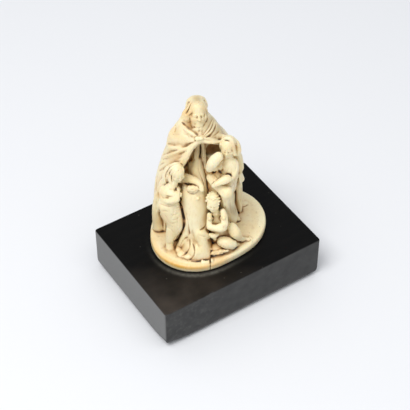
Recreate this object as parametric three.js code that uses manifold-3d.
// A small carved ivory group on an oval ivory base, standing on a black rectangular plinth.
// A seated man in a clasped mantle has three children about him: one stands at the viewer's left,
// one sits on his knee at the viewer's right, and an infant sits in front on the base.
// Millimetres, +Z up. The origin is the middle of the plinth's underside, +X along its long side.
import * as THREE from "three";
import { mergeVertices } from "three/addons/utils/BufferGeometryUtils.js";
import { ParametricGeometry } from "three/addons/geometries/ParametricGeometry.js";
import Module from "manifold-3d";

const wasm = await Module();
wasm.setup();

// Driving dimensions of the two pieces.
const PLINTH = { length: 100, width: 74.2, height: 27.7, corner: 1.6, edge: 0.6 };
const SEAT_GAP = 0.3;
const BASE = { halfLength: 34.4, halfWidth: 28.6, thickness: 4.7, x: 1.1, y: 2.8, edge: 1.2 };
const GROUND = PLINTH.height + SEAT_GAP + BASE.thickness;

// The figures are set out in the carver's frame: first number to the viewer's right, second
// towards the back, third up. It is the plinth's frame turned by this angle about Z.
const FRONT_TURN = THREE.MathUtils.degToRad(-33.09);

// How finely round things are faceted.
const FINE = { around: 12, rings: 8, along: 3 };
const PLAIN = { around: 8, rings: 5, along: 2 };
const SMALL = { around: 6, rings: 4, along: 1 };
// How far a limb's end stands beyond its last place, as a share of its radius there.
const BLUNT = 0.7;

// Turns a three.js geometry into a solid, with its faces pointing out.
function solid(geometry) {
  const bare = geometry.clone();
  bare.deleteAttribute("normal");
  bare.deleteAttribute("uv");
  const merged = mergeVertices(bare, 1e-4);
  const at = merged.attributes.position;
  const corners = [0, 1, 2].map(() => new THREE.Vector3());
  const kept = [];
  let volume = 0;
  for (let i = 0; i < merged.index.count; i += 3) {
    const ids = [0, 1, 2].map((k) => merged.index.getX(i + k));
    if (ids[0] === ids[1] || ids[1] === ids[2] || ids[0] === ids[2]) continue;
    ids.forEach((id, k) => corners[k].fromBufferAttribute(at, id));
    volume += corners[0].dot(corners[1].clone().cross(corners[2]));
    kept.push(ids);
  }
  const triVerts = new Uint32Array(kept.flatMap((ids) => (volume < 0 ? [...ids].reverse() : ids)));
  const vertProperties = new Float32Array(at.array);
  return new wasm.Manifold(new wasm.Mesh({ numProp: 3, vertProperties, triVerts }));
}

const joined = (pieces) => pieces.reduce((all, piece) => all.add(piece));

// A rounded form with three half-sizes, turned by degrees about the three axes.
function ball([x, y, z], [rx, ry, rz], turn = [0, 0, 0], facets = PLAIN) {
  const geometry = new THREE.SphereGeometry(1, facets.around, facets.rings);
  geometry.rotateX(Math.PI / 2);
  geometry.scale(rx, ry, rz);
  const [tx, ty, tz] = turn.map(THREE.MathUtils.degToRad);
  geometry.applyMatrix4(new THREE.Matrix4().makeRotationFromEuler(new THREE.Euler(tx, ty, tz)));
  geometry.translate(x, y, z);
  return solid(geometry);
}

// A limb that bends smoothly through a row of places, each [x, y, z, radius], with blunt ends.
function limb(places, facets = SMALL) {
  const curve = new THREE.CatmullRomCurve3(places.map(([x, y, z]) => new THREE.Vector3(x, y, z)));
  const steps = places.length > 2 ? facets.along * (places.length - 1) : 1;
  const frames = curve.computeFrenetFrames(steps);
  const radiusAt = (t) => {
    const along = t * (places.length - 1);
    const i = Math.min(Math.floor(along), places.length - 2);
    return THREE.MathUtils.lerp(places[i][3], places[i + 1][3], along - i);
  };
  const stacks = steps + 2;
  const place = (u, v, target) => {
    const row = Math.round(v * stacks);
    const i = THREE.MathUtils.clamp(row - 1, 0, steps);
    const radius = radiusAt(curve.getUtoTmapping(i / steps));
    curve.getPointAt(i / steps, target);
    if (row === 0) target.addScaledVector(frames.tangents[i], -BLUNT * radius);
    if (row === stacks) target.addScaledVector(frames.tangents[i], BLUNT * radius);
    if (row === 0 || row === stacks) return;
    const angle = (2 * Math.PI * (Math.round(u * facets.around) % facets.around)) / facets.around;
    target.addScaledVector(frames.normals[i], radius * Math.cos(angle));
    target.addScaledVector(frames.binormals[i], radius * Math.sin(angle));
  };
  return solid(new ParametricGeometry(place, facets.around, stacks));
}

// A closed body through level rings, each [z, centre x, centre y, half-width, half-depth].
// relief(angle, z) adds to the radius; angle 0 is the viewer's right and 90 degrees the back.
function loft(rings, around, steps, relief = () => 0) {
  const centres = new THREE.CatmullRomCurve3(rings.map(([z, x, y]) => new THREE.Vector3(x, y, z)));
  const sizes = new THREE.CatmullRomCurve3(rings.map((ring) => new THREE.Vector3(ring[3], ring[4], 0)));
  const stacks = steps + 2;
  const place = (u, v, target) => {
    const row = Math.round(v * stacks);
    const t = THREE.MathUtils.clamp((row - 1) / steps, 0, 1);
    centres.getPoint(t, target);
    if (row === 0 || row === stacks) return;
    const size = sizes.getPoint(t);
    const angle = (2 * Math.PI * (Math.round(u * around) % around)) / around;
    const bump = relief(angle, target.z);
    target.x += (size.x + bump) * Math.cos(angle);
    target.y += (size.y + bump) * Math.sin(angle);
  };
  return solid(new ParametricGeometry(place, around, stacks));
}

// A fold as a ridge: full height in the middle and gone at its width, by a raised cosine.
function ridge(angle, middle, width, height) {
  const away = Math.atan2(Math.sin(angle - middle), Math.cos(angle - middle));
  return Math.abs(away) < width ? (height / 2) * (1 + Math.cos((Math.PI * away) / width)) : 0;
}

// A block with its outline in the upright plane seen from the front, running back from y0 to y1.
function frontBlock(outline, y0, y1) {
  const shape = new THREE.Shape(outline.map(([x, z]) => new THREE.Vector2(x, z)));
  const geometry = new THREE.ExtrudeGeometry(shape, { depth: y1 - y0, bevelEnabled: false });
  geometry.rotateX(Math.PI / 2);
  geometry.translate(0, y1, 0);
  return solid(geometry);
}

// The mantle: a bell from the neck to the base, open in front from the clasp down.
// Each ring is [z, centre x, centre y, half-width, half-depth].
const MANTLE_RINGS = [
  [GROUND - 1, -5.2, 9.5, 23.8, 17.6],
  [50, -5, 9.5, 23.8, 17.4],
  [61, -4.2, 9.5, 23.4, 17],
  [70, -3.9, 9.2, 22, 16.2],
  [78, -3.2, 9, 20.4, 15],
  [86, -3.6, 8.6, 18.4, 13.4],
  [93, -4.3, 8.5, 15.9, 11.2],
  [98, -4.6, 8.4, 12.3, 9.3],
  [103, -4.8, 8.8, 8.6, 7.4],
  [107, -5.2, 9.4, 5.6, 5],
];
// Its folds start at the shoulders and widen to the hem: where each lies at top and hem, in
// degrees, with its half-width there and its height in millimetres.
const SHOULDER = 100;
const MANTLE_FOLDS = [
  { top: 175, hem: 184, width: 14, height: 1.6 },
  { top: 150, hem: 160, width: 13, height: 1.5 },
  { top: 125, hem: 134, width: 13, height: 1.8 },
  { top: 100, hem: 106, width: 14, height: 1.5 },
  { top: 76, hem: 78, width: 13, height: 1.8 },
  { top: 52, hem: 50, width: 13, height: 1.6 },
  { top: 28, hem: 24, width: 12, height: 1.7 },
];
// The front opening, as seen from the front: clasp, left edge down, right edge up.
const MANTLE_OPENING = [
  [-3.7, 97.3],
  [-8.2, 93.2],
  [-12.3, 84],
  [-17, 77],
  [-22, 66],
  [-22.6, GROUND - 2],
  [17, GROUND - 2],
  [17.2, 60],
  [15.2, 84],
  [12, 92],
  [6, 95.2],
];

function mantle() {
  const folds = (angle, z) => {
    const down = THREE.MathUtils.clamp((SHOULDER - z) / (SHOULDER - GROUND), 0, 1);
    return MANTLE_FOLDS.reduce((sum, fold) => {
      const middle = THREE.MathUtils.degToRad(THREE.MathUtils.lerp(fold.top, fold.hem, down));
      const width = THREE.MathUtils.degToRad(fold.width);
      return sum + ridge(angle, middle, width, fold.height * Math.sin((Math.PI / 2) * down));
    }, 0);
  };
  const bell = loft(MANTLE_RINGS, 38, 11, folds);
  const opened = bell.subtract(frontBlock(MANTLE_OPENING, -25, 7));
  // Rolled edges of the opening, from the clasp down either side.
  const leftEdge = limb([
    [-3.8, -0.6, 98.6, 1.2],
    [-8.4, -2, 94, 1.5],
    [-12.8, -3, 85.5, 1.8],
    [-18.5, -3.2, 77, 2.2],
    [-23.5, -1.6, 66, 2.6],
    [-26, -0.6, 50, 3.1],
    [-26, 0.4, GROUND + 1, 3.4],
  ]);
  const rightEdge = limb([
    [-3.6, -0.6, 98.6, 1.2],
    [1.5, -0.4, 97.2, 1.3],
    [7, 0.5, 96.4, 1.5],
    [12.5, 2, 92.5, 1.8],
    [16.2, 3.4, 84, 1.8],
    [17, 4.5, 74, 2],
    [17.6, 7.5, 63, 2.9],
    [16.6, 10, 50, 2.4],
    [16.9, 12, GROUND + 1, 2.4],
  ]);
  // Folds that run from the clasp over the shoulders.
  const fromClasp = [
    [[-4.6, 0, 99.4, 0.9], [-11, -0.6, 97, 1.3], [-17.5, 3, 93.6, 1.5]],
    [[-4.6, -0.4, 98.4, 0.9], [-11.5, -2, 91.5, 1.3], [-19, -1, 85, 1.5]],
    [[-6.5, -1.6, 95.8, 0.9], [-13.5, -3.2, 86.5, 1.3], [-21.5, -1.6, 76.5, 1.6]],
    [[-2.8, -0.2, 99.4, 0.9], [1.6, 1.6, 101, 1.2], [3.6, 6, 102.6, 1.2]],
    [[-2.8, -0.4, 98.8, 0.9], [3.4, 0.6, 98.8, 1.2], [8.2, 4.4, 97.6, 1.3]],
  ].map((places) => limb(places));
  // The hem spreads in a small tongue on the base.
  const tongue = ball([20.2, 16.6, GROUND + 0.4], [3.2, 3.6, 1.6], [0, 0, 20], SMALL);
  return joined([opened, leftEdge, rightEdge, ...fromClasp, tongue]);
}

// The man's robe: trunk, the forward right leg, and the left leg set back under the girl.
const TRUNK_RINGS = [
  [GROUND - 1, -2, 9, 19, 10],
  [50, -2, 9, 18, 10],
  [60, -3, 9, 16, 11],
  [68, -4, 9.5, 10, 10.5],
  [76, -4.2, 8.6, 6.8, 9],
  [84, -4.3, 8, 6, 7.8],
  [92, -4.3, 7.6, 5.4, 7],
  [99, -4.4, 7.6, 4.6, 5.6],
];
const RIGHT_LEG_RINGS = [
  [GROUND - 1, -6.6, -12.6, 9.6, 10.8],
  [38, -6.6, -12.4, 8.6, 9.9],
  [44, -6.6, -11.6, 7.2, 8.4],
  [51, -6.8, -9.8, 6.3, 7.2],
  [60, -7, -8, 6.1, 6.4],
  [67, -7.2, -6.4, 5.6, 5.6],
  [71.4, -7.4, -5.6, 3.4, 3.4],
];
const LEFT_LEG_RINGS = [
  [GROUND - 1, 13.6, 2.6, 4.8, 6],
  [40, 13.4, 1, 4.6, 6],
  [50, 12.8, -2, 5, 6.4],
  [62, 11, -5, 5.6, 7],
  [70, 9.6, -6.6, 5.4, 6.6],
  [74.4, 9.2, -7.4, 3, 3.6],
];

// Pleats round the front hem, at these angles, growing from nothing at their top to the hem.
const HEM_PLEATS = { at: [195, 222, 246, 300, 330], top: 56, width: 11.5, height: 1.3 };

function robe() {
  const trunk = loft(TRUNK_RINGS, 14, 7);
  const hemPleats = (angle, z) => {
    const down = THREE.MathUtils.clamp((HEM_PLEATS.top - z) / (HEM_PLEATS.top - GROUND), 0, 1);
    const width = THREE.MathUtils.degToRad(HEM_PLEATS.width);
    return HEM_PLEATS.at.reduce(
      (sum, at) => sum + ridge(angle, THREE.MathUtils.degToRad(at), width, HEM_PLEATS.height * down),
      0,
    );
  };
  const rightLeg = loft(RIGHT_LEG_RINGS, 24, 8, hemPleats);
  const leftLeg = loft(LEFT_LEG_RINGS, 12, 6);
  const lap = [
    limb([[-9, 8, 61, 8.5], [-7.4, -5, 65.4, 6.2]]),
    limb([[4, 8, 61, 8.5], [9.4, -5, 66.6, 6.6]]),
    ball([1.2, 2, 60], [7, 8, 9]),
  ];
  // The ridge down the middle of the chest, with a fold on each side.
  const chestFolds = [
    [[-3.6, 0.2, 97, 0.8], [-3, -0.4, 88, 1], [-1.4, -1, 76, 1.2], [-1, -1.6, 69, 1.2]],
    [[-4.6, 0.6, 96.6, 0.7], [-6.6, 0.6, 88, 0.9], [-7.4, 1, 80, 0.9]],
    [[-2.8, 0.6, 96.6, 0.7], [-0.2, 0.8, 89, 0.9], [1.4, 1, 82, 0.9]],
  ].map((places) => limb(places));
  // The hem in front, its curved pleats at the left, and the fold that sweeps right to the toes.
  const hem = [
    [[-13.6, -11.5, 47, 1.2], [-14.6, -16.5, 40, 1.6], [-12.4, -20.4, GROUND + 0.8, 1.6]],
    [[-11.4, -14, 46, 1], [-11, -19, 39.5, 1.5], [-9.6, -22, GROUND + 0.8, 1.4]],
    [[-3, -18, 46, 1.2], [-1.4, -20.6, 40, 1.6], [0.6, -20.8, GROUND + 0.6, 1.4]],
    [[1.2, -13.4, 44, 1.2], [2.4, -16.6, 40.4, 1.5], [1.2, -19.8, 36, 1.4]],
  ].map((places) => limb(places));
  return joined([trunk, rightLeg, leftLeg, ...lap, ...chestFolds, ...hem]);
}

// The toes of the bare foot under the hem.
const TOES = { count: 5, from: [-2.2, -23.6], step: [1.25, 0.16], radius: 0.75, length: 2.2 };

function toes() {
  const one = (i) => {
    const x = TOES.from[0] + i * TOES.step[0];
    const y = TOES.from[1] + i * TOES.step[1];
    const z = GROUND + TOES.radius * 0.8;
    return limb([
      [x, y + TOES.length, z + 0.7, TOES.radius],
      [x, y, z, TOES.radius],
    ]);
  };
  return joined(Array.from({ length: TOES.count }, (_, i) => one(i)));
}

// A head: skull, jaw, nose and neck on plain proportions of its height, looking along a direction.
function head(centre, height, [turn, nod], neckTo, facets = PLAIN) {
  const aim = new THREE.Euler(
    THREE.MathUtils.degToRad(nod),
    0,
    THREE.MathUtils.degToRad(turn),
    "ZXY",
  );
  const at = (x, y, z) => {
    const place = new THREE.Vector3(x, y, z).multiplyScalar(height).applyEuler(aim);
    return [centre[0] + place.x, centre[1] + place.y, centre[2] + place.z];
  };
  const skull = ball(at(0, 0.05, 0.1), [0.35 * height, 0.41 * height, 0.38 * height], [0, 0, turn], facets);
  const jaw = ball(at(0, -0.1, -0.22), [0.24 * height, 0.26 * height, 0.26 * height], [nod, 0, turn], SMALL);
  const nose = limb([
    [...at(0, -0.33, 0.02), 0.05 * height],
    [...at(0, -0.41, -0.12), 0.065 * height],
  ]);
  const neck = limb([[...at(0, 0.06, -0.2), 0.2 * height], neckTo]);
  return joined([skull, jaw, nose, neck]);
}

// The man's head with long hair to the shoulders and a short beard.
function manHead() {
  const skull = head([-5.3, 7, 109.4], 15.4, [28, 12], [-4.8, 8, 99, 4.2], FINE);
  const hair = [
    ball([-6, 9.2, 111], [6, 6.6, 7.4], [0, 0, 0], FINE),
    limb([
      [-9.4, 8.4, 111.6, 2.6],
      [-10.8, 7.6, 107.4, 3],
      [-12.4, 6.6, 103, 2.8],
    ]),
    limb([
      [-1.4, 8.8, 111, 2.6],
      [-0.6, 7.8, 106.6, 2.8],
      [0.4, 6.6, 102.6, 2.2],
    ]),
    ball([-6, 12, 105.4], [7.6, 5, 6.4]),
  ];
  const beard = ball([-3.4, 2.2, 102.8], [2.3, 1.9, 2.2], [20, 0, 28], SMALL);
  const clasp = ball([-3.7, -1.3, 98.7], [2.1, 1.2, 1.7]);
  return joined([skull, ...hair, beard, clasp]);
}

// The right forearm in its sleeve, laid over the knee, with the small knot of cloth under the hand.
function forearm() {
  const sleeve = limb(
    [
      [-16.5, 0, 73.5, 3.8],
      [-11.8, -4, 75, 3.3],
      [-7.2, -6.4, 75.2, 2.8],
      [-3.4, -8.4, 73.2, 2.1],
    ],
    PLAIN,
  );
  const hand = limb([
    [-3.4, -8.4, 73.2, 1.8],
    [-2, -10.6, 70.6, 1.5],
    [-2.6, -12, 68.4, 1.1],
  ]);
  const knot = [
    limb([[-9.8, -8.8, 71.2, 1.2], [-5.8, -9.4, 71.4, 1.3]]),
    limb([[-9, -10, 69.6, 1.1], [-5, -10.4, 69.8, 1.2]]),
    limb([[-4.6, -10.6, 69.4, 0.9], [-4.2, -12.4, 66.2, 1.1]]),
  ];
  return joined([sleeve, hand, ...knot]);
}

// The child who stands at the left with crossed arms, a cloth wrapped from the waist.
function standingChild() {
  const skull = head([-16, -8.8, 82], 11, [42, 14], [-17.6, -9, 73.5, 2.4]);
  const hair = [
    ball([-16.8, -7.4, 83.6], [5.4, 5.4, 5], [0, 0, 0], SMALL),
    limb([
      [-20, -7.6, 82.4, 2],
      [-21.2, -7.4, 78.8, 2],
      [-20.4, -8, 75.8, 1.4],
    ]),
  ];
  const trunk = loft(
    [
      [50, -18, -9.6, 5.2, 4.2],
      [55, -18.6, -10, 5.6, 4.6],
      [61, -19.2, -10.6, 5, 4.4],
      [67, -19, -9.6, 5.2, 4],
      [72, -18.2, -8.8, 4.6, 3.2],
      [75, -17.6, -8.6, 2.4, 2.2],
    ],
    9,
    4,
  );
  const arms = [
    limb([
      [-22.6, -9, 71, 2.2],
      [-24, -9.6, 65.4, 2.1],
      [-19.4, -13.2, 68, 1.6],
    ]),
    limb([
      [-14.8, -9.4, 71.4, 2.2],
      [-13.8, -11.4, 65.6, 2.1],
      [-18.6, -14.2, 66.4, 1.6],
    ]),
  ];
  const legs = [
    limb(
      [
        [-20.4, -10, 54, 3.9],
        [-20.4, -13, 45.4, 2.9],
        [-20, -14.6, 36, 1.9],
      ],
      PLAIN,
    ),
    limb([[-20, -14.8, 35, 1.7], [-20, -16.2, GROUND + 1, 1.4]]),
    limb(
      [
        [-16.2, -9.6, 54, 4],
        [-15.2, -10.6, 47, 3.2],
        [-16.6, -8.4, 38, 2.2],
        [-17, -8, GROUND + 0.4, 1.8],
      ],
      PLAIN,
    ),
  ];
  const cloth = [
    ball([-17.4, -10.4, 51], [5.6, 4.6, 6.6], [0, 14, 0]),
    limb([
      [-13.6, -11, 59, 1.1],
      [-18, -14.6, 55.6, 1.2],
      [-22.4, -12.6, 52, 1.1],
    ]),
    limb([
      [-12.8, -10.6, 50, 1.2],
      [-16.4, -13.8, 46, 1.3],
      [-21, -14.6, 43.4, 1.1],
    ]),
  ];
  return joined([skull, ...hair, trunk, ...arms, ...legs, ...cloth]);
}

// The girl on his knee: one hand raised to her chin, the other laid on her lap.
function girl() {
  const skull = head([10.4, -5, 96.6], 11, [-20, 18], [11.4, -4, 88, 2.2]);
  const hair = [
    ball([11, -3.2, 98], [5.3, 5.2, 4.8], [0, 0, 0], SMALL),
    limb([
      [14.6, -3.6, 98, 2],
      [15.6, -3.8, 94, 2.1],
      [14.6, -5, 90.8, 1.5],
    ]),
    limb([
      [7, -4.2, 98, 1.4],
      [6.6, -5.6, 94.6, 1.2],
    ]),
  ];
  const trunk = loft(
    [
      [66, 11, -4, 6.4, 6],
      [73, 10.8, -4, 5.4, 5],
      [79, 10.8, -4.2, 4.6, 4],
      [85, 11.2, -4.6, 5, 4],
      [88.6, 11.4, -4.2, 3.8, 3],
      [90, 11.4, -4, 2, 1.8],
    ],
    9,
    4,
  );
  const arms = [
    limb(
      [
        [6.8, -5, 86.6, 2.2],
        [1.8, -9.8, 85.6, 2.8],
        [6.2, -9, 92.8, 1.9],
      ],
      PLAIN,
    ),
    limb(
      [
        [15, -4.4, 85.8, 2.3],
        [13.4, -7.6, 79.4, 2.4],
        [8.2, -11.6, 79.6, 2.1],
        [4.6, -13, 78, 1.5],
      ],
      PLAIN,
    ),
  ];
  const skirt = loft(
    [
      [36.5, 15, 0.4, 2.6, 3.4],
      [42, 14.6, -2.2, 3.8, 4.4],
      [50, 13.4, -5.6, 4.4, 5],
      [58, 12.2, -8.4, 4.6, 5],
      [66, 10.8, -9.8, 5, 5],
      [72, 9.8, -10, 4.8, 4.6],
      [75, 9.6, -9.8, 2.8, 2.6],
    ],
    18,
    7,
    (angle, z) => (z < 70 ? 0.45 * Math.cos(7 * angle + 0.6) : 0),
  );
  const lap = limb([[10.8, -3, 71.6, 5], [9.6, -9.8, 71.2, 4.4]]);
  const shoes = [
    limb([[14.4, 0, 36, 1.7], [13.6, -2.4, GROUND + 0.9, 1.3]]),
    limb([[17, 2, 35.6, 1.6], [17.4, -0.2, GROUND + 0.9, 1.2]]),
  ];
  return joined([skull, ...hair, trunk, ...arms, skirt, lap, ...shoes]);
}

// The infant who sits in front with its arms folded and its knees spread.
function infant() {
  const skull = head([3.2, -12.8, 65], 9.8, [14, 26], [4.6, -11.4, 57, 1.9]);
  const hair = ball([3.8, -11, 66.6], [4.4, 4.5, 4.4], [0, 0, 0], SMALL);
  const trunk = loft(
    [
      [38, 7.6, -10.6, 5.2, 4.6],
      [44, 7, -11.4, 4.8, 4.4],
      [50, 5.8, -11.8, 4.2, 3.8],
      [56, 5, -11.6, 4, 3],
      [59, 4.8, -11.2, 2, 1.8],
    ],
    9,
    4,
  );
  const arms = [
    limb([
      [1.4, -12.4, 56.6, 1.9],
      [1.2, -16.6, 50.2, 1.9],
      [8, -18.6, 49.4, 1.5],
    ]),
    limb([
      [8.6, -12.2, 57.4, 1.9],
      [10.6, -14.8, 51.6, 1.9],
      [8.4, -18.4, 50, 1.4],
    ]),
  ];
  const legs = [
    limb([[6.6, -12.4, 39.6, 3.2], [10.6, -17.2, 39.8, 3.3]]),
    limb([[10.6, -17.2, 39.8, 3.3], [14.6, -14.6, 37.4, 1.9]]),
    limb([[9.6, -10.4, 41.4, 3.2], [14.8, -10, 42.6, 3.2]]),
    limb([[14.8, -10, 42.6, 3.2], [18.8, -11.4, 36.6, 2.2]]),
    limb([[18.8, -11.2, 35.8, 1.6], [23.4, -8.2, GROUND + 0.9, 1.1]]),
    limb([[13.6, -14.6, 36.4, 1.6], [17, -14, GROUND + 0.8, 1.1]]),
  ];
  const cloth = ball([4.4, -16.4, 44.4], [2.6, 2, 2.4], [0, 0, 20], SMALL);
  const ground = [
    ball([6.6, -16.2, GROUND + 0.6], [5, 4.2, 3.4], [0, 0, 10], SMALL),
    ball([11, -15.6, GROUND + 0.4], [4.8, 3.4, 3], [0, 0, 30], SMALL),
    ball([7, -8, GROUND + 2], [8, 6, 5], [0, 0, 0], SMALL),
  ];
  return joined([skull, hair, trunk, ...arms, ...legs, cloth, ...ground]);
}

// The oval base: a full slice of tusk with a rounded upper edge and one age crack at the front.
const CRACK = { x: -12.5, y: -22, width: 0.35, length: 4.6, turn: 28 };

function ovalBase() {
  const bottom = GROUND - BASE.thickness;
  const curve = 3;
  const profile = [new THREE.Vector2(0, bottom), new THREE.Vector2(1, bottom)];
  for (let i = 0; i <= curve; i++) {
    const angle = (Math.PI / 2) * (i / curve);
    const inset = (BASE.edge / BASE.halfWidth) * (1 - Math.cos(angle));
    profile.push(new THREE.Vector2(1 - inset, GROUND - BASE.edge * (1 - Math.sin(angle))));
  }
  profile.push(new THREE.Vector2(0, GROUND));
  const geometry = new THREE.LatheGeometry(profile, 48);
  geometry.rotateX(Math.PI / 2);
  geometry.scale(BASE.halfLength, BASE.halfWidth, 1);
  geometry.translate(BASE.x, BASE.y, 0);
  const slit = new THREE.BoxGeometry(CRACK.width, CRACK.length, 2 * BASE.thickness);
  slit.rotateZ(THREE.MathUtils.degToRad(-CRACK.turn));
  slit.translate(CRACK.x, CRACK.y, GROUND);
  const inCarverFrame = (made) => made.rotateZ(-FRONT_TURN);
  return solid(inCarverFrame(geometry)).subtract(solid(inCarverFrame(slit)));
}

// The plinth: a plain block with slightly rounded upright corners, chipped at its near corner
// and along its front edge.
const CHIPS = [
  { at: [-50, -37.1, 27.7], radius: 1.5 },
  { at: [-50, -37.1, 0], radius: 2.6 },
  { at: [-28.5, -37.3, 27.9], radius: 0.9 },
  { at: [-24, -37.3, 27.9], radius: 0.7 },
];

function plinth() {
  const { length, width, height, corner, edge } = PLINTH;
  const x = length / 2 - edge;
  const y = width / 2 - edge;
  const outline = new THREE.Shape();
  outline.moveTo(-x + corner, -y);
  outline.lineTo(x - corner, -y);
  outline.quadraticCurveTo(x, -y, x, -y + corner);
  outline.lineTo(x, y - corner);
  outline.quadraticCurveTo(x, y, x - corner, y);
  outline.lineTo(-x + corner, y);
  outline.quadraticCurveTo(-x, y, -x, y - corner);
  outline.lineTo(-x, -y + corner);
  outline.quadraticCurveTo(-x, -y, -x + corner, -y);
  const geometry = new THREE.ExtrudeGeometry(outline, {
    depth: height - 2 * edge,
    bevelThickness: edge,
    bevelSize: edge,
    bevelSegments: 2,
    curveSegments: 4,
  });
  geometry.translate(0, 0, edge);
  return CHIPS.reduce((block, chip) => {
    const bite = new THREE.IcosahedronGeometry(chip.radius, 1);
    bite.translate(...chip.at);
    return block.subtract(solid(bite));
  }, solid(geometry));
}

// A named mesh of a solid, with the material's colour, roughness and metalness.
function mesh(name, made, look) {
  const { vertProperties, triVerts } = made.getMesh();
  const geometry = new THREE.BufferGeometry();
  geometry.setAttribute("position", new THREE.BufferAttribute(new Float32Array(vertProperties), 3));
  geometry.setIndex(new THREE.BufferAttribute(new Uint32Array(triVerts), 1));
  geometry.computeVertexNormals();
  const piece = new THREE.Mesh(geometry, new THREE.MeshStandardMaterial(look));
  piece.name = name;
  return piece;
}

const figures = joined([
  mantle(),
  robe(),
  toes(),
  manHead(),
  forearm(),
  standingChild(),
  girl(),
  infant(),
  ovalBase(),
]);
const belowBase = new THREE.BoxGeometry(2 * PLINTH.length, 2 * PLINTH.length, PLINTH.height);
belowBase.translate(0, 0, GROUND - BASE.thickness - PLINTH.height / 2);
const carving = figures.subtract(solid(belowBase));

const group = new THREE.Group();
const turned = new THREE.Group();
turned.rotation.z = FRONT_TURN;
turned.add(mesh("ivory_group", carving, { color: 0xf0dcb0, roughness: 0.42, metalness: 0 }));
group.add(turned);
group.add(mesh("plinth", plinth(), { color: 0x1e1c1b, roughness: 0.45, metalness: 0 }));

export default group;
